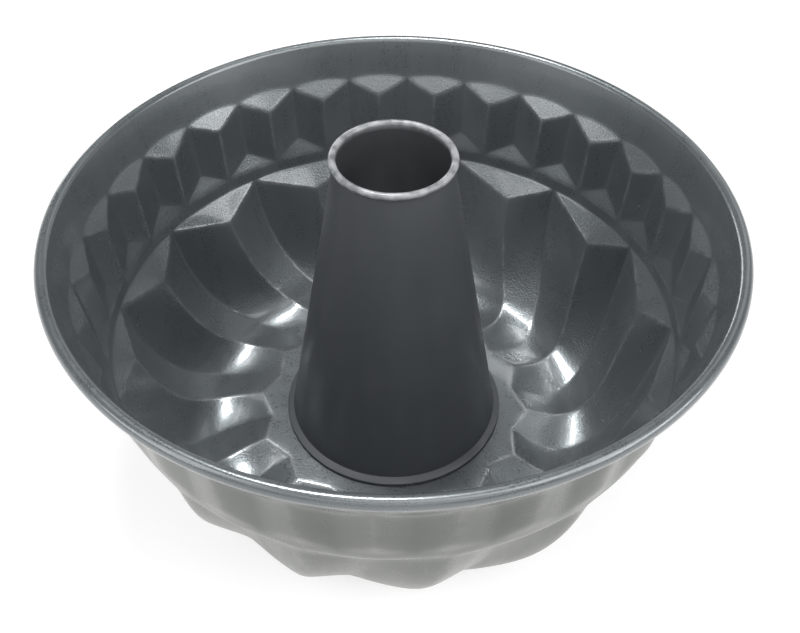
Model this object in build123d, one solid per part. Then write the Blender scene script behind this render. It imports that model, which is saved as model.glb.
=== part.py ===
from build123d import *
import math
import os

# A fluted ring cake pan with a fixed centre tube. Z is the axis of the pan and it stands on z = 0.
# All lengths are millimetres and all turns are degrees round the axis, counted from the X axis.

# Pressed sheet and the rolled rim
sheet = 0.8
rim_radius = 110.0
rim_height = 92.4
rim_curl_radius = 2.1
rim_curl_end = -130.0
wire_clearance = 0.3

# Upper band: upright pleats between the plain collar and the step
pleats = 28
ridge_top_radius = 101.5
ridge_top_height = 79.7
valley_top_radius = 97.6
valley_top_height = 74.2
ridge_foot_radius = 97.6
ridge_foot_height = 59.2

# Step: a narrow plain band between the pleats and the flutes
step_top_radius = 95.0
step_top_height = 52.8
step_foot_radius = 93.9
step_foot_height = 48.2

# Lower bowl: swirling flutes, each with a trough line and a crest line. The lines are drawn
# as radius, height and turn of their control points, from the step down to the flat floor.
flutes = 14
trough_bend_radius = 84.5
trough_bend_height = 0.0
trough_bend_turn = -0.2
trough_sweep_radius = 68.8
trough_sweep_height = -6.1
trough_sweep_turn = -21.1
trough_end_radius = 43.8
trough_end_turn = -13.2
crest_top_radius = 87.5
crest_top_height = 40.2
crest_top_turn = -15.1
crest_bend_radius = 75.0
crest_bend_height = 4.2
crest_bend_turn = -17.6
crest_sweep_radius = 72.5
crest_sweep_height = -1.1
crest_sweep_turn = -28.8
crest_end_radius = 48.1
crest_end_turn = -27.2

# Flat floor round the foot of the tube
floor_height = 6.0

# Centre tube: a drawn cone with a rolled top, seamed to the floor by a bead and a turned flange
tube_sheet = 0.8
tube_top_radius = 19.9
tube_height = 116.5
tube_curl_radius = 1.2
tube_curl_end = -75.0
tube_foot_radius = 36.0
bead_width = 2.2
bead_height = 2.2
bead_corner = 0.9
neck_clearance = 0.3

# Depth to which the undersides of the flutes are flattened where the pan stands
land_reach = 4.0

pleat_pitch = 360 / pleats
flute_pitch = 360 / flutes
tube_curl_centre = (tube_top_radius - tube_curl_radius, tube_height - tube_curl_radius)
rim_curl_centre = (rim_radius - rim_curl_radius, rim_height)


def at(radius, height, turn):
    """Point at a radius, a height and a turn."""
    angle = math.radians(turn)
    return Vector(radius * math.cos(angle), radius * math.sin(angle), height)


def in_section(radius, height):
    """Point of an upright half section."""
    return at(radius, height, 0)


def offset_outwards(line):
    """Line of radius, height and turn moved one sheet outwards and down, square at its two ends."""
    steps = [(b[0] - a[0], b[1] - a[1]) for a, b in zip(line, line[1:])]
    normals = [(-rise / math.hypot(run, rise), run / math.hypot(run, rise)) for run, rise in steps]
    moves = [(1, 0)]
    for first, second in zip(normals, normals[1:]):
        spread = 1 + first[0] * second[0] + first[1] * second[1]
        moves.append(((first[0] + second[0]) / spread, (first[1] + second[1]) / spread))
    moves.append((0, -1))
    return [(p[0] + sheet * m[0], p[1] + sheet * m[1], p[2]) for p, m in zip(line, moves)]


def turned(line, turn):
    """Control points of a line after a turn about the axis."""
    return [at(p[0], p[1], p[2] + turn) for p in line]


def arc(radius, height, first, last):
    """Level arc about the axis from one turn to another."""
    middle = (first + last) / 2
    return Edge.make_three_point_arc(
        at(radius, height, first), at(radius, height, middle), at(radius, height, last)
    )


def ledge(apex, radius, height, first, last):
    """Sloping triangle with a point at its apex and a level arc as its base."""
    half = (last - first) / 2
    weight = math.cos(math.radians(half))
    base = [at(radius, height, first), at(radius / weight, height, first + half), at(radius, height, last)]
    return Face.make_bezier_surface([base, [apex] * 3], [[1, weight, 1], [1, weight, 1]])


def flank(first, second):
    """Face stretched between two lines that have the same number of control points."""
    return Face.make_bezier_surface([first, second])


def ring_piece(inner, outer, height, first, last):
    """Level strip between two radii."""
    return Face.make_surface_from_curves(arc(inner, height, first, last), arc(outer, height, first, last))


def closed_solid(faces):
    """Solid bounded by faces that share their edges."""
    return Solid(Shell(faces))


def rolled_section(foot, centre, curl_radius, thickness, end):
    """Edges of a sheet that rises from its foot and curls outwards round a centre."""
    run = centre[0] - foot[0]
    rise = centre[1] - foot[1]
    lean = math.degrees(math.atan2(rise, run) + math.asin(curl_radius / math.hypot(run, rise)))
    start = lean + 90

    def on_curl(radius, turn):
        angle = math.radians(turn)
        return in_section(centre[0] + radius * math.cos(angle), centre[1] + radius * math.sin(angle))

    def curl(radius, first, last):
        return Edge.make_three_point_arc(
            on_curl(radius, first), on_curl(radius, (first + last) / 2), on_curl(radius, last)
        )

    bore = curl_radius - thickness
    return [
        Edge.make_line(in_section(*foot), on_curl(curl_radius, start)),
        curl(curl_radius, start, end),
        Edge.make_line(on_curl(curl_radius, end), on_curl(bore, end)),
        curl(bore, end, start),
        Edge.make_line(on_curl(bore, start), in_section(foot[0] + thickness, foot[1])),
    ]


def revolved(edges):
    """Ring made by turning a closed half section round the axis."""
    return revolve(Face(Wire(edges)), Axis.Z)


def polyline_edges(points):
    """Straight edges through points of the half section."""
    return [Edge.make_line(in_section(*a), in_section(*b)) for a, b in zip(points, points[1:])]


def make_rim():
    """Plain collar that leans outwards and ends in the rolled rim."""
    foot = (ridge_top_radius, ridge_top_height)
    outer_foot = (ridge_top_radius + sheet, ridge_top_height)
    section = rolled_section(foot, rim_curl_centre, rim_curl_radius, sheet, rim_curl_end)
    return revolved(section + polyline_edges([outer_foot, foot]))


def pleat_skin(extra):
    """Faces of the pleated band on one side of the sheet."""
    faces = []
    half = pleat_pitch / 2
    for number in range(pleats):
        turn = number * pleat_pitch
        ridge_top = at(ridge_top_radius + extra, ridge_top_height, turn)
        ridge_foot = at(ridge_foot_radius + extra, ridge_foot_height, turn)
        for side in (-half, half):
            valley_top = at(valley_top_radius + extra, valley_top_height, turn + side)
            valley_foot = at(step_top_radius + extra, step_top_height, turn + side)
            faces.append(flank([ridge_top, ridge_foot], [valley_top, valley_foot]))
        top_apex = at(valley_top_radius + extra, valley_top_height, turn + half)
        faces.append(
            ledge(top_apex, ridge_top_radius + extra, ridge_top_height, turn, turn + pleat_pitch)
        )
        faces.append(
            ledge(ridge_foot, step_top_radius + extra, step_top_height, turn - half, turn + half)
        )
    return faces


def make_pleats():
    """Band of upright pleats with a row of small ledges above and below."""
    faces = pleat_skin(0) + pleat_skin(sheet)
    half = pleat_pitch / 2
    for number in range(pleats):
        turn = number * pleat_pitch
        faces.append(
            ring_piece(ridge_top_radius, ridge_top_radius + sheet, ridge_top_height, turn, turn + pleat_pitch)
        )
        faces.append(
            ring_piece(step_top_radius, step_top_radius + sheet, step_top_height, turn - half, turn + half)
        )
    return closed_solid(faces)


def make_step():
    """Narrow plain band between the pleats and the flutes."""
    corners = [
        (step_top_radius, step_top_height),
        (step_top_radius + sheet, step_top_height),
        (step_foot_radius + sheet, step_foot_height),
        (step_foot_radius, step_foot_height),
    ]
    return revolved(polyline_edges(corners + corners[:1]))


def flute_lines():
    """Trough and crest lines of the inner side of the first flute."""
    trough = [
        (step_foot_radius, step_foot_height, 0),
        (trough_bend_radius, trough_bend_height, trough_bend_turn),
        (trough_sweep_radius, trough_sweep_height, trough_sweep_turn),
        (trough_end_radius, floor_height, trough_end_turn),
    ]
    crest = [
        (crest_top_radius, crest_top_height, crest_top_turn),
        (crest_bend_radius, crest_bend_height, crest_bend_turn),
        (crest_sweep_radius, crest_sweep_height, crest_sweep_turn),
        (crest_end_radius, floor_height, crest_end_turn),
    ]
    return trough, crest


def flute_skin(trough, crest, ring_radius):
    """Faces of all flutes on one side of the sheet."""
    faces = []
    for number in range(flutes):
        turn = -number * flute_pitch
        here = turned(trough, turn)
        top = turned(crest, turn)
        beyond = turned(trough, turn - flute_pitch)
        faces.append(ledge(top[0], ring_radius, step_foot_height, turn - flute_pitch, turn))
        faces.append(flank(here, top))
        faces.append(flank(top, beyond))
    return faces


def floor_outline(height):
    """Zigzag edge of the floor, with a corner at the end of each trough and crest."""
    corners = []
    for number in range(flutes):
        turn = -number * flute_pitch
        corners.append(at(trough_end_radius, height, turn + trough_end_turn))
        corners.append(at(crest_end_radius, height, turn + crest_end_turn))
    return corners


def make_flutes():
    """Bowl of swirling flutes under a row of large ledges."""
    trough, crest = flute_lines()
    outer_trough = offset_outwards(trough)
    step_corner = (step_foot_radius, step_foot_height, crest_top_turn)
    outer_crest = offset_outwards([step_corner] + crest)[1:]
    faces = flute_skin(trough, crest, step_foot_radius)
    faces += flute_skin(outer_trough, outer_crest, step_foot_radius + sheet)
    for number in range(flutes):
        turn = -number * flute_pitch
        faces.append(
            ring_piece(step_foot_radius, step_foot_radius + sheet, step_foot_height, turn - flute_pitch, turn)
        )
    upper = floor_outline(floor_height)
    lower = floor_outline(floor_height - sheet)
    for number in range(len(upper)):
        after = (number + 1) % len(upper)
        faces.append(Face(Wire.make_polygon([upper[number], upper[after], lower[after], lower[number]])))
    return closed_solid(faces)


def make_floor():
    """Flat floor with a zigzag edge and a round hole for the neck of the tube."""
    outline = Face(Wire.make_polygon(floor_outline(floor_height - sheet)))
    plate = extrude(outline, sheet, Vector(0, 0, 1))
    hole_radius = tube_foot_radius + neck_clearance
    hole = Cylinder(hole_radius, sheet, align=(Align.CENTER, Align.CENTER, Align.MIN))
    return plate - Pos(0, 0, floor_height - sheet) * hole


def make_shell():
    """Whole pressed bowl from the rolled rim to the floor, flattened where it stands."""
    shell = make_rim().fuse(make_pleats(), make_step(), make_flutes(), make_floor())
    below = Cylinder(rim_radius, land_reach, align=(Align.CENTER, Align.CENTER, Align.MAX))
    return shell - below


def make_tube():
    """Cone with a rolled top, a bead on the floor and a flange turned out below it."""
    foot_top = floor_height + bead_height
    foot = (tube_foot_radius - tube_sheet, foot_top)
    section = rolled_section(foot, tube_curl_centre, tube_curl_radius, tube_sheet, tube_curl_end)
    bead_radius = tube_foot_radius + bead_width
    floor_underside = floor_height - sheet
    flange_underside = floor_underside - tube_sheet
    shoulder = (bead_radius - bead_corner, foot_top)
    side = (bead_radius, foot_top - bead_corner)
    corner_slant = bead_corner * math.cos(math.radians(45))
    corner_middle = (shoulder[0] + corner_slant, side[1] + corner_slant)
    section += polyline_edges([(tube_foot_radius, foot_top), shoulder])
    section.append(
        Edge.make_three_point_arc(in_section(*shoulder), in_section(*corner_middle), in_section(*side))
    )
    section += polyline_edges(
        [
            side,
            (bead_radius, floor_height),
            (tube_foot_radius, floor_height),
            (tube_foot_radius, floor_underside),
            (bead_radius, floor_underside),
            (bead_radius, flange_underside),
            (tube_foot_radius - tube_sheet, flange_underside),
            foot,
        ]
    )
    return revolved(section)


def make_wire():
    """Round wire inside the rolled rim."""
    wire_radius = rim_curl_radius - sheet - wire_clearance
    centre = Pos(0, 0, rim_height)
    return centre * Torus(rim_curl_centre[0], wire_radius)


os.makedirs("parts", exist_ok=True)
export_step(make_shell(), "parts/pan_shell.step")
export_step(make_tube(), "parts/centre_tube.step")
export_step(make_wire(), "parts/rim_wire.step")
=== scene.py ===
import math

import bpy
import numpy as np
from mathutils import Matrix, Vector


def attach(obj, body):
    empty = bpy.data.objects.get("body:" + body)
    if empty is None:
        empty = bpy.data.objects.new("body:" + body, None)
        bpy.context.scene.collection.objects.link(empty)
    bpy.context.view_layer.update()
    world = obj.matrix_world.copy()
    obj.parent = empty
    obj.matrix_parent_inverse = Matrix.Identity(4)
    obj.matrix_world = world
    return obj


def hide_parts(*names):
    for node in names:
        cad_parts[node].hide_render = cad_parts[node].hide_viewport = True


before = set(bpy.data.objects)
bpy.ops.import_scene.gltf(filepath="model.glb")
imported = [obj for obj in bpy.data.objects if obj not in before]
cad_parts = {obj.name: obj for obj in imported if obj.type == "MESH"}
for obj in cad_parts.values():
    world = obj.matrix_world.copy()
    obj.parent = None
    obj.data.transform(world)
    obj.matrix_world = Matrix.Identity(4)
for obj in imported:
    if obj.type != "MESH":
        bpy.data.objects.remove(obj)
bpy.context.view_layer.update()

mm = 0.001
print("frame loaded:", ", ".join(sorted(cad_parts)))


# Grids of points in millimetres, joined where their borders meet

def place(radius, height, turn):
    angle = np.radians(turn)
    radius, height, angle = np.broadcast_arrays(radius, height, angle)
    return np.stack([radius * np.cos(angle), radius * np.sin(angle), height], -1)


def between(first, last, shares):
    shares = np.asarray(shares, float)
    shares = shares.reshape(shares.shape + (1,) * first.ndim)
    return (1 - shares) * first + shares * last


weldSteps = 1000  # points meet within a thousandth of a millimetre
weldOffset = 0.137  # keeps round sizes off the border between two steps


def pointKeys(points):
    return np.round(points * weldSteps + weldOffset).astype(np.int64)


def weld(patches):
    points = np.concatenate([patch.reshape(-1, 3) for patch in patches])
    _, first, index = np.unique(pointKeys(points), axis=0, return_index=True, return_inverse=True)
    index = index.reshape(-1)
    faces = []
    start = 0
    for patch in patches:
        rows, columns = patch.shape[:2]
        number = index[start:start + rows * columns].reshape(rows, columns)
        start += rows * columns
        corners = [number[:-1, :-1], number[:-1, 1:], number[1:, 1:], number[1:, :-1]]
        for quad in np.stack(corners, -1).reshape(-1, 4).tolist():
            face = list(dict.fromkeys(quad))
            if len(face) > 2:
                faces.append(face)
    return points[first], faces


tiny = 1e-12  # kept under divisions that could meet a zero


def triangles(faces):
    return np.array([(face[0], face[k], face[k + 1]) for face in faces for k in range(1, len(face) - 1)])


def pointNormals(points, faces):
    tris = triangles(faces)
    corner = points[tris]
    normal = np.cross(corner[:, 1] - corner[:, 0], corner[:, 2] - corner[:, 0])
    total = np.zeros_like(points)
    for side in range(3):
        for axis in range(3):
            total[:, axis] += np.bincount(tris[:, side], normal[:, axis], len(points))
    return total / np.maximum(np.linalg.norm(total, axis=1), tiny)[:, None]


smoothing = {"passes": 2, "rounds": 150, "smallestArea": 1e-9, "smallestStep": 1e-30, "closeEnough": 1e-10}


def softened(points, faces, reach):
    # Rounds creases over a real width, whatever the size of the faces beside them.
    # Each pass is one implicit step of heat flow, solved by conjugate gradients.
    passes = smoothing["passes"]
    smallestArea, smallestStep = smoothing["smallestArea"], smoothing["smallestStep"]
    tris = triangles(faces)
    count = len(points)
    for _ in range(passes):
        corner = points[tris]
        mass = np.zeros(count)
        ends, weights = [], []
        for side in range(3):
            a, b, c = side, (side + 1) % 3, (side + 2) % 3
            along, beside = corner[:, b] - corner[:, a], corner[:, c] - corner[:, a]
            doubleArea = np.linalg.norm(np.cross(along, beside), axis=1)
            mass += np.bincount(tris[:, a], doubleArea / 6, count)
            ends.append(tris[:, [b, c]])
            weights.append((along * beside).sum(1) / np.maximum(doubleArea, smallestArea) / 2)
        ends = np.concatenate(ends)
        weight = np.concatenate(weights)
        weight = weight * np.minimum(reach[ends[:, 0]], reach[ends[:, 1]]) ** 2 / passes

        def spread(values):
            flow = weight[:, None] * (values[ends[:, 0]] - values[ends[:, 1]])
            total = mass[:, None] * values
            for axis in range(3):
                total[:, axis] += np.bincount(ends[:, 0], flow[:, axis], count)
                total[:, axis] -= np.bincount(ends[:, 1], flow[:, axis], count)
            return total

        scale = mass + np.bincount(ends[:, 0], weight, count) + np.bincount(ends[:, 1], weight, count)
        scale = np.maximum(scale, smallestArea)[:, None]
        result = points.copy()
        rest = mass[:, None] * points - spread(result)
        step = rest / scale
        size = (rest * step).sum(0)
        for _ in range(smoothing["rounds"]):
            pushed = spread(step)
            share = size / np.maximum((step * pushed).sum(0), smallestStep)
            result += share * step
            rest -= share * pushed
            eased = rest / scale
            newSize = (rest * eased).sum(0)
            if newSize.max() < smoothing["closeEnough"]:
                break
            step = eased + newSize / np.maximum(size, smallestStep) * step
            size = newSize
        points = result
    return points


sharpAngle = math.radians(55)


def makeObject(name, points, faces, materials, slots, masks):
    mesh = bpy.data.meshes.new(name)
    mesh.from_pydata((points * mm).tolist(), [], faces)
    mesh.polygons.foreach_set("material_index", np.asarray(slots, np.int32))
    for title, values in masks.items():
        layer = mesh.attributes.new(title, "FLOAT", "POINT")
        layer.data.foreach_set("value", np.asarray(values, np.float32))
    mesh.shade_smooth()
    mesh.set_sharp_from_angle(angle=sharpAngle)
    mesh.update()
    piece = bpy.data.objects.new(name, mesh)
    bpy.context.scene.collection.objects.link(piece)
    for material in materials:
        mesh.materials.append(material)
    return piece


# Effects shared by the finishes

def socket(group, name, kind, direction, value=None):
    made = group.interface.new_socket(name=name, in_out=direction, socket_type=kind)
    if value is not None:
        made.default_value = value
    return made


def addNode(tree, kind, inputs=None, **settings):
    made = tree.nodes.new(kind)
    for name, value in settings.items():
        setattr(made, name, value)
    for name, value in (inputs or {}).items():
        slot = made.inputs[name]
        if isinstance(value, bpy.types.NodeSocket):
            tree.links.new(value, slot)
        else:
            slot.default_value = value
    return made


def mathNode(tree, operation, first, second, clamp=False):
    made = addNode(tree, "ShaderNodeMath", {0: first, 1: second}, operation=operation, use_clamp=clamp)
    return made.outputs[0]


def remap(tree, value, low, high, newLow, newHigh):
    inputs = {"Value": value, "From Min": low, "From Max": high, "To Min": newLow, "To Max": newHigh}
    return addNode(tree, "ShaderNodeMapRange", inputs).outputs["Result"]


def mixColour(tree, share, first, second):
    # A Mix node keeps its colours in sockets 6 and 7, and gives the mixed one out of socket 2
    made = addNode(tree, "ShaderNodeMix", data_type="RGBA")
    for slot, value in ((0, share), (6, first), (7, second)):
        if isinstance(value, bpy.types.NodeSocket):
            tree.links.new(value, made.inputs[slot])
        else:
            made.inputs[slot].default_value = value
    return made.outputs[2]


effects = {
    "waveDetail": 1.5, "waveRoughness": 0.5,
    "grainDetail": 1.0, "grainRoughness": 0.6, "speckleRange": (0.35, 0.65),
    "blotchDetail": 3.0, "blotchRoughness": 0.55, "blotchRange": (0.35, 0.65),
    "streakStretch": (1.0, 1.0, 0.12), "streakDetail": 2.0, "streakRange": (0.4, 0.62),
    "breakDetail": 2.0, "breakRange": (0.35, 0.6), "leastWearAndHighlight": 0.25,
}


def makeOrangePeel():
    group = bpy.data.node_groups.new("orangePeel", "ShaderNodeTree")
    socket(group, "Wave Scale", "NodeSocketFloat", "INPUT", 700.0)
    socket(group, "Grain Scale", "NodeSocketFloat", "INPUT", 3000.0)
    socket(group, "Grain Share", "NodeSocketFloat", "INPUT", 0.4)
    socket(group, "Wave Share", "NodeSocketFloat", "INPUT", 0.4)
    socket(group, "Height", "NodeSocketFloat", "OUTPUT")
    socket(group, "Speckle", "NodeSocketFloat", "OUTPUT")
    given = addNode(group, "NodeGroupInput")
    place3d = addNode(group, "ShaderNodeTexCoord").outputs["Object"]
    wave = addNode(group, "ShaderNodeTexNoise", {
        "Vector": place3d, "Scale": given.outputs["Wave Scale"],
        "Detail": effects["waveDetail"], "Roughness": effects["waveRoughness"]})
    grain = addNode(group, "ShaderNodeTexNoise", {
        "Vector": place3d, "Scale": given.outputs["Grain Scale"],
        "Detail": effects["grainDetail"], "Roughness": effects["grainRoughness"]})
    fine = mathNode(group, "MULTIPLY", grain.outputs["Fac"], given.outputs["Grain Share"])
    broad = mathNode(group, "MULTIPLY", wave.outputs["Fac"], given.outputs["Wave Share"])
    grainy = addNode(group, "ShaderNodeAttribute", attribute_name="grainy").outputs["Fac"]
    height = mathNode(group, "MULTIPLY", mathNode(group, "ADD", broad, fine), grainy)
    speckle = remap(group, grain.outputs["Fac"], *effects["speckleRange"], 0.0, 1.0)
    addNode(group, "NodeGroupOutput", {"Height": height, "Speckle": speckle})
    return group


def makeBlotches():
    group = bpy.data.node_groups.new("blotches", "ShaderNodeTree")
    socket(group, "Size Scale", "NodeSocketFloat", "INPUT", 25.0)
    socket(group, "Streak Scale", "NodeSocketFloat", "INPUT", 160.0)
    socket(group, "Blotch", "NodeSocketFloat", "OUTPUT")
    socket(group, "Streak", "NodeSocketFloat", "OUTPUT")
    given = addNode(group, "NodeGroupInput")
    place3d = addNode(group, "ShaderNodeTexCoord").outputs["Object"]
    blotch = addNode(group, "ShaderNodeTexNoise", {
        "Vector": place3d, "Scale": given.outputs["Size Scale"],
        "Detail": effects["blotchDetail"], "Roughness": effects["blotchRoughness"]})
    stretch = {0: place3d, 1: effects["streakStretch"]}
    flat = addNode(group, "ShaderNodeVectorMath", stretch, operation="MULTIPLY")
    streak = addNode(group, "ShaderNodeTexNoise", {
        "Vector": flat.outputs[0], "Scale": given.outputs["Streak Scale"], "Detail": effects["streakDetail"]})
    blotchMask = remap(group, blotch.outputs["Fac"], *effects["blotchRange"], 0.0, 1.0)
    streakMask = remap(group, streak.outputs["Fac"], *effects["streakRange"], 0.0, 1.0)
    addNode(group, "NodeGroupOutput", {"Blotch": blotchMask, "Streak": streakMask})
    return group


def makeCrestWearAndHighlight():
    group = bpy.data.node_groups.new("crestWearAndHighlight", "ShaderNodeTree")
    socket(group, "Amount", "NodeSocketFloat", "INPUT", 0.6)
    socket(group, "Break Scale", "NodeSocketFloat", "INPUT", 260.0)
    socket(group, "Worn And Highlit", "NodeSocketFloat", "OUTPUT")
    socket(group, "Settled", "NodeSocketFloat", "OUTPUT")
    given = addNode(group, "NodeGroupInput")
    place3d = addNode(group, "ShaderNodeTexCoord").outputs["Object"]
    crest = addNode(group, "ShaderNodeAttribute", attribute_name="crest").outputs["Fac"]
    hollow = addNode(group, "ShaderNodeAttribute", attribute_name="hollow").outputs["Fac"]
    patchy = addNode(group, "ShaderNodeTexNoise", {
        "Vector": place3d, "Scale": given.outputs["Break Scale"], "Detail": effects["breakDetail"]})
    broken = remap(group, patchy.outputs["Fac"], *effects["breakRange"], effects["leastWearAndHighlight"], 1.0)
    # Lighter along convex creases, broken up by noise: partly wear, partly a painted highlight on the crease
    # lines
    wornAndHighlit = mathNode(group, "MULTIPLY", crest, broken)
    wornAndHighlit = mathNode(group, "MULTIPLY", wornAndHighlit, given.outputs["Amount"], clamp=True)
    settled = mathNode(group, "MULTIPLY", hollow, given.outputs["Amount"], clamp=True)
    addNode(group, "NodeGroupOutput", {"Worn And Highlit": wornAndHighlit, "Settled": settled})
    return group


def placeGroup(tree, group, inputs):
    made = tree.nodes.new("ShaderNodeGroup")
    made.node_tree = group
    for name, value in inputs.items():
        made.inputs[name].default_value = value
    return made.outputs


orangePeel = makeOrangePeel()
blotches = makeBlotches()
crestWearAndHighlight = makeCrestWearAndHighlight()

# Scales count waves or grains in a metre
allCoatings = {
    "blotchScale": 22.0, "streakScale": 140.0, "breakScale": 240.0,
    "speckShare": 0.08, "settledRoughness": 0.08, "bumpDepth": 0.0002,
}

# The pale crest colour and its amount stand for wear and for a painted highlight along creases and the tube's
# rolled top
coatings = {
    "insideCoating": {
        "dark": (0.124, 0.139, 0.146, 1), "light": (0.143, 0.158, 0.165, 1),
        "speck": (0.190, 0.205, 0.212, 1), "wornAndHighlit": (0.46, 0.47, 0.48, 1),
        "metallic": 0.6, "roughness": (0.25, 0.31), "sparkle": 0.1,
        "coat": (0.85, 1.0), "coatRoughness": 0.13,
        "wave": 500.0, "waveShare": 0.3, "grain": 1550.0, "grainShare": 1.8, "bump": 0.5, "wearAndHighlight": 0.4,
    },
    "tubeCoating": {
        "dark": (0.078, 0.085, 0.091, 1), "light": (0.088, 0.095, 0.101, 1),
        "speck": (0.105, 0.112, 0.118, 1), "wornAndHighlit": (0.42, 0.43, 0.44, 1),
        "metallic": 0.3, "roughness": (0.40, 0.48), "sparkle": 0.04,
        "coat": (0.0, 0.1), "coatRoughness": 0.25,
        "wave": 700.0, "waveShare": 0.5, "grain": 1600.0, "grainShare": 0.5, "bump": 0.25, "wearAndHighlight": 0.75,
    },
    "outsideCoating": {
        "dark": (0.098, 0.105, 0.093, 1), "light": (0.113, 0.120, 0.107, 1),
        "speck": (0.130, 0.137, 0.122, 1), "wornAndHighlit": (0.34, 0.34, 0.33, 1),
        "metallic": 0.7, "roughness": (0.26, 0.31), "sparkle": 0.02,
        "coat": (0.15, 0.3), "coatRoughness": 0.25,
        "wave": 400.0, "waveShare": 0.6, "grain": 1500.0, "grainShare": 0.3, "bump": 0.12, "wearAndHighlight": 0.18,
    },
}


def makeCoating(name):
    look = coatings[name]
    material = bpy.data.materials.new(name)
    material.use_nodes = True
    tree = material.node_tree
    tree.nodes.clear()
    peel = placeGroup(tree, orangePeel, {
        "Wave Scale": look["wave"], "Grain Scale": look["grain"],
        "Grain Share": look["grainShare"], "Wave Share": look["waveShare"]})
    cloud = placeGroup(tree, blotches, {
        "Size Scale": allCoatings["blotchScale"], "Streak Scale": allCoatings["streakScale"]})
    edges = placeGroup(tree, crestWearAndHighlight, {"Amount": look["wearAndHighlight"], "Break Scale": allCoatings["breakScale"]})
    base = mixColour(tree, cloud["Blotch"], look["dark"], look["light"])
    specks = mathNode(tree, "MULTIPLY", peel["Speckle"], allCoatings["speckShare"])
    base = mixColour(tree, specks, base, look["speck"])
    # Pale colour on the crests: wear and a painted highlight
    base = mixColour(tree, edges["Worn And Highlit"], base, look["wornAndHighlit"])
    rough = remap(tree, cloud["Streak"], 0.0, 1.0, *look["roughness"])
    rough = mathNode(tree, "ADD", rough, mathNode(tree, "MULTIPLY", peel["Speckle"], look["sparkle"]))
    dust = mathNode(tree, "MULTIPLY", edges["Settled"], allCoatings["settledRoughness"])
    rough = mathNode(tree, "ADD", rough, dust, clamp=True)
    bump = addNode(tree, "ShaderNodeBump", {
        "Height": peel["Height"], "Strength": look["bump"], "Distance": allCoatings["bumpDepth"]})
    coat = remap(tree, cloud["Blotch"], 0.0, 1.0, *look["coat"])
    shader = addNode(tree, "ShaderNodeBsdfPrincipled", {
        "Base Color": base, "Roughness": rough, "Metallic": look["metallic"], "Coat Weight": coat,
        "Coat Roughness": look["coatRoughness"], "Normal": bump.outputs["Normal"]})
    addNode(tree, "ShaderNodeOutputMaterial", {"Surface": shader.outputs["BSDF"]})
    return material


wireSteel = {
    "dark": (0.30, 0.30, 0.31, 1), "light": (0.50, 0.50, 0.51, 1), "roughness": (0.28, 0.45),
    "grain": 4000.0, "bump": 0.1, "bumpDepth": 0.0001, "blotchScale": 60.0, "streakScale": 500.0,
}


def makeSteel():
    material = bpy.data.materials.new("wireSteel")
    material.use_nodes = True
    tree = material.node_tree
    tree.nodes.clear()
    peel = placeGroup(tree, orangePeel, {"Grain Scale": wireSteel["grain"]})
    cloud = placeGroup(tree, blotches, {
        "Size Scale": wireSteel["blotchScale"], "Streak Scale": wireSteel["streakScale"]})
    base = mixColour(tree, cloud["Streak"], wireSteel["dark"], wireSteel["light"])
    rough = remap(tree, cloud["Blotch"], 0.0, 1.0, *wireSteel["roughness"])
    bump = addNode(tree, "ShaderNodeBump", {
        "Height": peel["Speckle"], "Strength": wireSteel["bump"], "Distance": wireSteel["bumpDepth"]})
    shader = addNode(tree, "ShaderNodeBsdfPrincipled", {
        "Base Color": base, "Roughness": rough, "Metallic": 1.0, "Normal": bump.outputs["Normal"]})
    addNode(tree, "ShaderNodeOutputMaterial", {"Surface": shader.outputs["BSDF"]})
    return material


insideCoating = makeCoating("insideCoating")
tubeCoating = makeCoating("tubeCoating")
outsideCoating = makeCoating("outsideCoating")
steel = makeSteel()
print("finishes made")


# Pressed bowl: collar and rolled rim, pleats, step, swirling flutes and floor

bowl = {
    "sheet": 0.8, "ledgeRise": 1.2, "ledgeReach": 0.45, "stepFlat": 0.6, "dish": 0.6,
    "dishStart": 0.25, "dishEnd": 0.15, "curlRows": 27,
    "rimRadius": 110.0, "rimHeight": 92.4, "curlRadius": 2.1, "curlEnd": -130.0,
    "pleats": 28, "ridgeTop": (101.5, 79.7), "valleyTop": (97.6, 74.2),
    "ridgeFoot": (97.6, 59.2), "stepTop": (95.0, 52.8), "stepFoot": (93.9, 48.2),
    "flutes": 14, "floorHeight": 6.0, "holeRadius": 36.3,
    "trough": [(93.9, 48.2, 0.0), (84.5, 0.0, -0.2), (68.8, -6.1, -21.1), (43.8, 6.0, -13.2)],
    "crest": [(87.5, 40.2, -15.1), (75.0, 4.2, -17.6), (72.5, -1.1, -28.8), (48.1, 6.0, -27.2)],
}

# How far creases are rounded, inside and outside, and where the rim and the hole stay as they are
rounding = {
    "softness": (0.55, 1.6), "rimClear": 6, "rimFade": 4, "holeClear": 1, "holeFade": 3,
    "fullDrift": 0.22,  # a crease that moves by this share of the softness counts as a whole crest or hollow
    "holeGrip": 0.01,
}

# Surfaces that look upwards carry more grain, the floor less and the rolled rim little
graininess = {
    "steep": 0.25, "flat": 1.5, "tiltStart": 0.35, "tiltFade": 0.35,
    "rim": 0.12, "rimFade": 3, "floorLoss": 0.65, "floorAbove": 1,
}

acrossShares = [0, 0.02, 0.045, 0.085, 0.16, 0.3, 0.5, 0.7, 0.84, 0.915, 0.955, 0.98, 1]
pleatShares = [0, 0.02, 0.05, 0.1, 0.2, 0.4, 0.6, 0.8, 0.9, 0.95, 0.98, 1]
stepShares = [0, 0.08, 0.2, 0.35, 0.65, 0.8, 0.92, 1]
collarShares = [0, 0.4, 0.7, 0.86, 0.93, 0.97, 1]
floorShares = [0, 0.03, 0.08, 0.18, 0.4, 0.7, 1]
quarterShares = [0, 0.06, 0.15, 0.3, 0.5, 0.7, 0.85, 0.94]
fluteShares = [0, 0.003, 0.008, 0.016, 0.03, 0.05, 0.075]
fluteShares += list(np.linspace(0.105, 0.9, 26))
fluteShares += [0.925, 0.95, 0.968, 0.98, 0.99, 0.996, 1]


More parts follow.
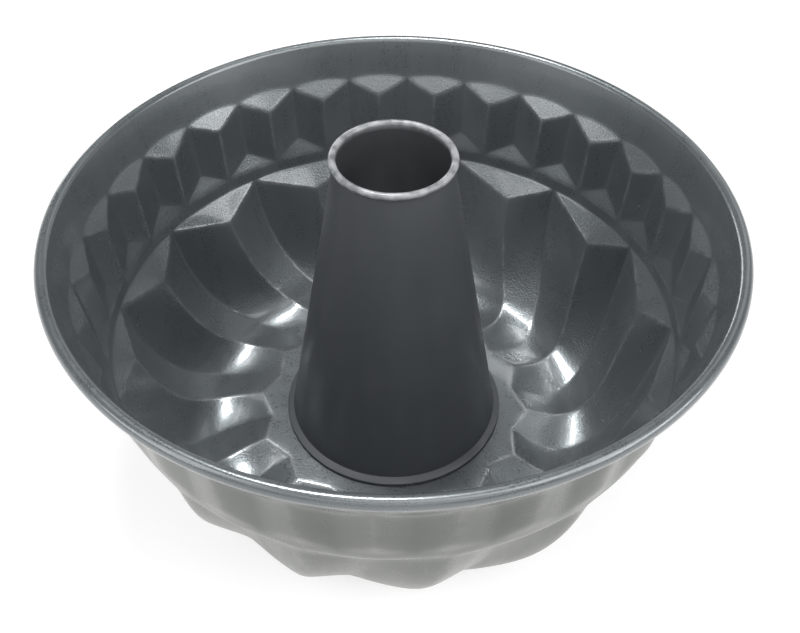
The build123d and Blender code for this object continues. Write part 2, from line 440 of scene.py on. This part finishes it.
def turnsBetween(firstQuarter, quarters):
    # Quarters of a flute's pitch, so that the rings meet pleats and flutes alike
    quarter = 360 / (4 * bowl["flutes"])
    last = firstQuarter + quarters
    turns = [(number + share) * quarter for number in range(firstQuarter, last) for share in quarterShares]
    return np.array(turns + [last * quarter])


allTurns = turnsBetween(0, 4 * bowl["flutes"])


def curlStart(foot, centre, radius):
    run, rise = centre[0] - foot[0], centre[1] - foot[1]
    return math.degrees(math.atan2(rise, run) + math.asin(radius / math.hypot(run, rise))) + 90


def bezier(controls, shares):
    p = [place(*control) for control in controls]
    t = np.asarray(shares)[:, None]
    return (1 - t) ** 3 * p[0] + 3 * t * (1 - t) ** 2 * p[1] + 3 * t ** 2 * (1 - t) * p[2] + t ** 3 * p[3]


def movedOutwards(line, sheet):
    # Each corner of a line on the inner face, moved square to its two sides
    steps = [(b[0] - a[0], b[1] - a[1]) for a, b in zip(line, line[1:])]
    normals = [(-rise / math.hypot(run, rise), run / math.hypot(run, rise)) for run, rise in steps]
    moves = [(1, 0)]
    for first, second in zip(normals, normals[1:]):
        spread = 1 + first[0] * second[0] + first[1] * second[1]
        moves.append(((first[0] + second[0]) / spread, (first[1] + second[1]) / spread))
    moves.append((0, -1))
    return [(p[0] + sheet * m[0], p[1] + sheet * m[1], p[2]) for p, m in zip(line, moves)]


def ledge(apex, ringPoints):
    # Rows run from the ring down to the apex
    return between(ringPoints, apex, acrossShares)


def arched(turns, middle):
    # One at the middle of every pleat's ledge, nothing at its corners
    pitch = 360 / bowl["pleats"]
    away = (np.asarray(turns) - middle) / pitch
    return 1 - 4 * (away - np.round(away)) ** 2


def topBorder(turns, extra):
    rise = arched(turns, 180 / bowl["pleats"])
    radius, height = bowl["ridgeTop"]
    return place(radius + extra + bowl["ledgeReach"] * rise, height + bowl["ledgeRise"] * rise, turns)


def stepBorder(turns, extra):
    radius, height = bowl["stepTop"]
    flat = 0 if extra else bowl["stepFlat"]  # the outer side stays round
    return place(radius + extra - flat * arched(turns, 0), height, turns)


def dished(flank):
    # The wide side of a flute is pressed a little hollow
    normal = np.cross(np.gradient(flank, axis=0), np.gradient(flank, axis=1))
    normal /= np.maximum(np.linalg.norm(normal, axis=-1), tiny)[..., None]
    normal *= np.sign(-normal[..., 2:])
    across, along = np.array(acrossShares), np.array(fluteShares)
    width = 4 * across * (1 - across)
    length = np.clip(along / bowl["dishStart"], 0, 1) * np.clip((1 - along) / bowl["dishEnd"], 0, 1)
    return flank + bowl["dish"] * (width[:, None] * length[None, :])[..., None] * normal


def bowlSkin(extra):
    # The inner skin has no extra, the outer one has the thickness of the sheet
    patches = []
    foot = bowl["ridgeTop"]
    centre = (bowl["rimRadius"] - bowl["curlRadius"], bowl["rimHeight"])
    start = curlStart(foot, centre, bowl["curlRadius"])
    curlRadius = bowl["curlRadius"] - extra
    angles = np.radians(np.linspace(bowl["curlEnd"], start, bowl["curlRows"]))[:, None]
    across, upward = centre[0] + curlRadius * np.cos(angles), centre[1] + curlRadius * np.sin(angles)
    curl = place(across, upward, allTurns[None, :])
    patches.append(curl)
    ridgeRing = topBorder(allTurns, extra)
    patches.append(between(curl[-1], ridgeRing, collarShares))

    pleatPitch = 360 / bowl["pleats"]
    half = pleatPitch / 2

    def upright(topKey, footKey, turn):
        return [place(bowl[key][0] + extra, bowl[key][1], turn) for key in (topKey, footKey)]

    for number in range(bowl["pleats"]):
        turn = number * pleatPitch
        ridge = upright("ridgeTop", "ridgeFoot", turn)
        valleys = [upright("valleyTop", "stepTop", turn + side) for side in (-half, half)]
        lines = [between(*ends, pleatShares) for ends in (valleys[0], ridge, valleys[1])]
        for first, last in zip(lines, lines[1:]):
            patches.append(np.swapaxes(between(first, last, acrossShares), 0, 1))
        patches.append(ledge(valleys[1][0], topBorder(turnsBetween(2 * number, 2), extra)))
        patches.append(ledge(ridge[1], stepBorder(turnsBetween(2 * number - 1, 2), extra))[::-1])

    stepFoot = place(bowl["stepFoot"][0] + extra, bowl["stepFoot"][1], allTurns)
    patches.append(between(stepBorder(allTurns, extra), stepFoot, stepShares))

    trough, crest = bowl["trough"], bowl["crest"]
    if extra:
        stepCorner = (bowl["stepFoot"][0], bowl["stepFoot"][1], crest[0][2])
        trough = movedOutwards(trough, extra)
        crest = movedOutwards([stepCorner] + crest, extra)[1:]
    flutePitch = 360 / bowl["flutes"]
    for number in range(bowl["flutes"]):
        turn = -number * flutePitch
        here, top, beyond = [
            bezier([(c[0], c[1], c[2] + turn + back) for c in line], fluteShares)
            for line, back in ((trough, 0), (crest, 0), (trough, -flutePitch))]
        footTurns = turnsBetween(-4 * number - 4, 4)
        patches.append(ledge(top[0], place(bowl["stepFoot"][0] + extra, bowl["stepFoot"][1], footTurns)))
        for first, last in ((top, here), (beyond, top)):
            flank = between(first, last, acrossShares)
            flank = np.swapaxes(dished(flank) if last is here else flank, 0, 1)
            patches.append(flank)
            border = flank[-1]
            borderTurns = np.degrees(np.arctan2(border[:, 1], border[:, 0]))
            hole = place(bowl["holeRadius"], bowl["floorHeight"] - extra, borderTurns)
            patches.append(between(border, hole, floorShares))
    return patches


def grainOf(normals, height):
    tilt = (np.abs(normals[:, 2]) - graininess["tiltStart"]) / graininess["tiltFade"]
    grainy = graininess["steep"] + (graininess["flat"] - graininess["steep"]) * np.clip(tilt, 0, 1)
    grainy *= np.clip((bowl["rimHeight"] - height) / graininess["rimFade"], graininess["rim"], 1)
    aboveFloor = bowl["floorHeight"] + graininess["floorAbove"] - height
    return grainy * (1 - graininess["floorLoss"] * np.clip(aboveFloor, 0, 1))


def makeSkin(extra, softness):
    patches = bowlSkin(extra)
    points, faces = weld(patches)
    radius, height = np.hypot(points[:, 0], points[:, 1]), points[:, 2]
    underRim = bowl["rimHeight"] - rounding["rimClear"] - height
    fromHole = radius - bowl["holeRadius"] - rounding["holeClear"]
    reach = softness * np.clip(underRim / rounding["rimFade"], 0, 1)
    reach *= np.clip(fromHole / rounding["holeFade"], 0, 1)
    soft = softened(points, faces, reach)
    soft[:, 2] = np.maximum(soft[:, 2], 0)
    normals = pointNormals(soft, faces)
    return {
        "points": soft, "faces": faces, "end": patches[0][0], "grainy": grainOf(normals, height),
        "drift": ((soft - points) * normals).sum(1) / (rounding["fullDrift"] * softness),
    }


def cutAtCurl(points, inner, outer):
    lookUp = {tuple(key): number for number, key in enumerate(pointKeys(points).tolist())}
    ends = [[lookUp[tuple(key)] for key in pointKeys(skin["end"]).tolist()] for skin in (outer, inner)]
    pairs = list(zip(*ends))
    steps = zip(pairs, pairs[1:])
    return [[first[0], last[0], last[1], first[1]] for first, last in steps if first[0] != last[0]]


def cutAtHole(inner, outer):
    rows = []
    under = bowl["floorHeight"] - bowl["sheet"]
    for offset, skin, level in ((0, inner, bowl["floorHeight"]), (len(inner["points"]), outer, under)):
        points = skin["points"]
        atRadius = np.abs(np.hypot(points[:, 0], points[:, 1]) - bowl["holeRadius"]) < rounding["holeGrip"]
        edge = np.flatnonzero(atRadius & (np.abs(points[:, 2] - level) < rounding["holeGrip"]))
        order = np.argsort(np.arctan2(points[edge, 1], points[edge, 0]))
        rows.append((edge[order] + offset).tolist())
    if len(rows[0]) != len(rows[1]):
        raise RuntimeError("the two sides of the floor's hole differ")
    beyond = [row[1:] + row[:1] for row in rows]
    return [list(corners) for corners in zip(rows[0], beyond[0], beyond[1], rows[1])]


def makeBowl():
    # Slot 0 is the inside finish, slot 1 the outside
    inner, outer = [makeSkin(extra, soft) for extra, soft in zip((0, bowl["sheet"]), rounding["softness"])]
    points = np.concatenate([inner["points"], outer["points"]])
    count = len(inner["points"])
    turnedFaces = [[number + count for number in face[::-1]] for face in outer["faces"]]
    curlFaces = cutAtCurl(points, inner, outer)
    holeFaces = cutAtHole(inner, outer)
    faces = inner["faces"] + turnedFaces + curlFaces + holeFaces
    slots = [0] * len(inner["faces"]) + [1] * len(turnedFaces) + [0] * len(curlFaces) + [1] * len(holeFaces)
    drift = np.concatenate([inner["drift"], -outer["drift"]])
    # crest marks the rounded convex creases for the pale colour, wear and a painted highlight; hollow only
    # raises roughness
    masks = {
        "crest": np.clip(-drift, 0, 1), "hollow": np.clip(drift, 0, 1),
        "grainy": np.concatenate([inner["grainy"], outer["grainy"]]),
    }
    return makeObject("pressedBowl", points, faces, [insideCoating, outsideCoating], slots, masks)


pressedBowl = makeBowl()
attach(pressedBowl, "root")
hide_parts("pan_shell")
print("bowl pressed:", len(pressedBowl.data.polygons), "faces")


# Centre tube: cone with a rolled top, and a bead that seams it to the floor

tube = {
    "sheet": 0.8, "topRadius": 19.9, "height": 116.5, "curlRadius": 1.2, "curlEnd": -75.0,
    "footRadius": 36.0, "beadWidth": 2.2, "beadHeight": 2.2, "beadCorner": 0.3, "beadSlope": 0.9,
    "beadTurn": 70, "fillet": 0.35, "filletTurns": (195, 262), "seamDepth": 0.6,
    "seamFloor": 0.5, "seamDrop": 0.02, "flangeEdge": 0.1, "flangeBend": 0.3,
    "insideShares": (0.03, 0.3, 0.6, 0.9, 0.97, 0.985),
    "outsideShares": (0.01, 0.03, 0.1, 0.3, 0.5, 0.7, 0.9, 0.97),
    "curlRows": 22, "boreRows": 12, "filletRows": 5, "cornerRows": 7, "seamRows": 6, "columns": 168,
}


def arcPoints(centre, radius, first, last, count):
    angles = np.radians(np.linspace(first, last, count))
    return [(centre[0] + radius * math.cos(a), centre[1] + radius * math.sin(a)) for a in angles]


def straight(first, last, shares):
    run, rise = last[0] - first[0], last[1] - first[1]
    return [(first[0] + share * run, first[1] + share * rise) for share in shares]


def tubeSection():
    sheet, radius = tube["sheet"], tube["footRadius"]
    floorTop = bowl["floorHeight"]
    beadTop = floorTop + tube["beadHeight"]
    beadRadius = radius + tube["beadWidth"]
    centre = (tube["topRadius"] - tube["curlRadius"], tube["height"] - tube["curlRadius"])
    foot = (radius - sheet, beadTop)
    start = curlStart(foot, centre, tube["curlRadius"])

    # Up the wall from inside, over the rolled top and down the outside of the cone
    curl = arcPoints(centre, tube["curlRadius"], start, tube["curlEnd"], tube["curlRows"])
    section = [foot] + straight(foot, curl[0], tube["insideShares"]) + curl
    section += arcPoints(centre, tube["curlRadius"] - sheet, tube["curlEnd"], start, tube["boreRows"])
    wallTop, wallFoot = section[-1], (radius, beadTop)
    section += straight(wallTop, wallFoot, tube["outsideShares"])

    # The bead that holds the cone on the floor
    fillet, corner, seam = tube["fillet"], tube["beadCorner"], tube["seamDepth"]
    filletFoot = radius + (wallTop[0] - radius) / (wallTop[1] - beadTop) * fillet
    section.append((filletFoot, beadTop + fillet))
    filletCentre = (filletFoot + fillet, beadTop + fillet)
    section += arcPoints(filletCentre, fillet, *tube["filletTurns"], tube["filletRows"])
    cornerHeight = beadTop - tube["beadSlope"] - corner
    section += arcPoints((beadRadius - corner, cornerHeight), corner, tube["beadTurn"], 0, tube["cornerRows"])
    section += arcPoints((beadRadius - seam, floorTop + seam), seam, 0, -90, tube["seamRows"])

    # Through the floor's hole, and the flange turned out below it
    floorUnder = floorTop - bowl["sheet"]
    flange = floorUnder - sheet
    edge, bend = tube["flangeEdge"], tube["flangeBend"]
    section += [(radius + tube["seamFloor"], floorTop), (radius, floorTop - tube["seamDrop"])]
    section.append((radius, floorUnder))
    section += [(beadRadius - edge, floorUnder), (beadRadius, floorUnder - edge)]
    section += [(beadRadius, flange + edge), (beadRadius - edge, flange)]
    section += [(foot[0] + bend, flange), (foot[0], flange + bend)]
    return np.array(section)


def makeTube():
    section = tubeSection()
    turns = np.linspace(0, 360, tube["columns"] + 1)
    rows = np.concatenate([section, section[:1]])
    grid = place(rows[:, :1], rows[:, 1:], turns[None, :])
    points, faces = weld([grid])
    curlFoot = tube["height"] - 2 * tube["curlRadius"]
    # The whole rolled top counts as crest, so it is painted paler: wear and a painted highlight along the
    # ring
    crest = np.clip((points[:, 2] - curlFoot) / tube["curlRadius"], 0, 1)
    masks = {"crest": crest, "hollow": np.zeros(len(points)), "grainy": np.ones(len(points))}
    return makeObject("centreTube", points, faces, [tubeCoating], [0] * len(faces), masks)


centreTube = makeTube()
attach(centreTube, "root")
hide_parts("centre_tube")
print("tube turned:", len(centreTube.data.polygons), "faces")

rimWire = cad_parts["rim_wire"]
rimWire.data.materials.clear()
rimWire.data.materials.append(steel)


# Camera, white floor and soft studio light

# Angles in degrees, lengths in millimetres, places in the photo in pixels
camera = {
    "azimuth": -87.013, "elevation": 39.4875, "distance": 350.62, "aimHeight": 92.4,
    "focalPixels": 1114.19, "imageSize": (800, 633), "axisPixel": (393.61, 217.14), "sensor": 36.0,
    "nearest": 10, "farthest": 50000,
}


def awayFrom(azimuth, elevation):
    turn, lift = math.radians(azimuth), math.radians(elevation)
    return Vector((math.cos(lift) * math.cos(turn), math.cos(lift) * math.sin(turn), math.sin(lift)))


def makeCamera():
    back = awayFrom(camera["azimuth"], camera["elevation"])
    turn = math.radians(camera["azimuth"])
    right = Vector((-math.sin(turn), math.cos(turn), 0))
    up = back.cross(right)
    data = bpy.data.cameras.new("camera")
    width, height = camera["imageSize"]
    data.sensor_width = camera["sensor"]
    data.lens = camera["focalPixels"] / width * camera["sensor"]
    data.shift_x = (width / 2 - camera["axisPixel"][0]) / width
    data.shift_y = (camera["axisPixel"][1] - height / 2) / width
    data.clip_start = camera["nearest"] * mm
    data.clip_end = camera["farthest"] * mm
    eye = bpy.data.objects.new("camera", data)
    place4 = Matrix((right, up, back)).transposed().to_4x4()
    place4.translation = back * camera["distance"] * mm + Vector((0, 0, camera["aimHeight"] * mm))
    eye.matrix_world = place4
    bpy.context.scene.collection.objects.link(eye)
    bpy.context.scene.camera = eye


makeCamera()

# The lamps all stand at one distance, in metres, and look at a point in the pan
lampRing = {"distance": 1.6, "aimHeight": 0.05}

lamps = [
    {"name": "overheadLamp", "azimuth": 118, "elevation": 75, "size": (0.45, 0.37), "power": 20.0},
    {"name": "rightLamp", "azimuth": -30, "elevation": 50, "size": (0.8, 0.8), "power": 7.0},
    {"name": "rightLowLamp", "azimuth": -16, "elevation": 26, "size": (1.0, 0.45), "power": 7.0},
    {"name": "frontLamp", "azimuth": -92, "elevation": 37, "size": (1.9, 0.4), "power": 4.6},
    {"name": "frontLowLamp", "azimuth": -92, "elevation": 16, "size": (0.9, 0.3), "power": 1.0},
    {"name": "frontTopLamp", "azimuth": -80, "elevation": 66, "size": (0.8, 0.8), "power": 4.0},
    {"name": "leftLamp", "azimuth": -148, "elevation": 48, "size": (0.7, 0.7), "power": 4.5},
    {"name": "leftLowLamp", "azimuth": -154, "elevation": 25, "size": (0.9, 0.4), "power": 4.2},
    {"name": "backLowLamp", "azimuth": 118, "elevation": 8, "size": (0.8, 0.4), "power": 4.0},
    {"name": "backRightLamp", "azimuth": 60, "elevation": 35, "size": (0.7, 0.7), "power": 1.5},
]


def makeLamp(lamp):
    data = bpy.data.lights.new(lamp["name"], "AREA")
    data.shape = "RECTANGLE"
    data.size, data.size_y = lamp["size"]
    data.energy = lamp["power"]
    back = awayFrom(lamp["azimuth"], lamp["elevation"])
    made = bpy.data.objects.new(lamp["name"], data)
    made.location = back * lampRing["distance"] + Vector((0, 0, lampRing["aimHeight"]))
    made.rotation_euler = back.to_track_quat("Z", "Y").to_euler()
    bpy.context.scene.collection.objects.link(made)


for lamp in lamps:
    makeLamp(lamp)

# The floor in metres, and the room's colours by height, from 0 at the horizon to 1 overhead
backdrop = {
    "floor": (0.40, 0.40, 0.40, 1), "glow": 0.72, "size": 3.0, "floorDrop": 0.0002,
    "horizon": (0.90, 0.90, 0.90, 1), "horizonTop": 0.05,
    "wall": (0.22, 0.225, 0.23, 1), "wallTop": 0.3,
    "ceiling": (0.08, 0.08, 0.08, 1), "ceilingFrom": 0.85,
}


def seenDirectly(tree):
    path = addNode(tree, "ShaderNodeLightPath").outputs
    seen = mathNode(tree, "MAXIMUM", path["Is Camera Ray"], path["Is Glossy Ray"])
    return mathNode(tree, "MAXIMUM", seen, path["Is Transmission Ray"])


def makeFloor():
    material = bpy.data.materials.new("whiteFloor")
    material.use_nodes = True
    tree = material.node_tree
    tree.nodes.clear()
    strength = mathNode(tree, "MULTIPLY", seenDirectly(tree), backdrop["glow"])
    glow = addNode(tree, "ShaderNodeEmission", {"Color": (1, 1, 1, 1), "Strength": strength})
    paper = addNode(tree, "ShaderNodeBsdfDiffuse", {"Color": backdrop["floor"]})
    both = addNode(tree, "ShaderNodeAddShader", {0: glow.outputs[0], 1: paper.outputs[0]})
    addNode(tree, "ShaderNodeOutputMaterial", {"Surface": both.outputs[0]})
    size = backdrop["size"]
    corners = [(-size, -size, 0), (size, -size, 0), (size, size, 0), (-size, size, 0)]
    mesh = bpy.data.meshes.new("whiteFloor")
    mesh.from_pydata(corners, [], [(0, 1, 2, 3)])
    mesh.materials.append(material)
    floor = bpy.data.objects.new("whiteFloor", mesh)
    floor.location.z = -backdrop["floorDrop"]
    bpy.context.scene.collection.objects.link(floor)


def makeRoom():
    # Pale at the horizon and dimmer overhead
    world = bpy.data.worlds.new("room")
    bpy.context.scene.world = world
    world.use_nodes = True
    tree = world.node_tree
    tree.nodes.clear()
    toward = addNode(tree, "ShaderNodeTexCoord").outputs["Generated"]
    upward = addNode(tree, "ShaderNodeSeparateXYZ", {"Vector": toward}).outputs["Z"]
    ramp = addNode(tree, "ShaderNodeValToRGB", {"Fac": upward})
    marks = ramp.color_ramp.elements
    marks[0].position, marks[0].color = backdrop["horizonTop"], backdrop["horizon"]
    marks[1].position, marks[1].color = backdrop["ceilingFrom"], backdrop["ceiling"]
    marks.new(backdrop["wallTop"]).color = backdrop["wall"]
    room = addNode(tree, "ShaderNodeBackground", {"Color": ramp.outputs["Color"]})
    addNode(tree, "ShaderNodeOutputWorld", {"Surface": room.outputs[0]})


makeFloor()
makeRoom()
bpy.context.scene.view_settings.view_transform = "Standard"
print("camera, lamps and backdrop set")
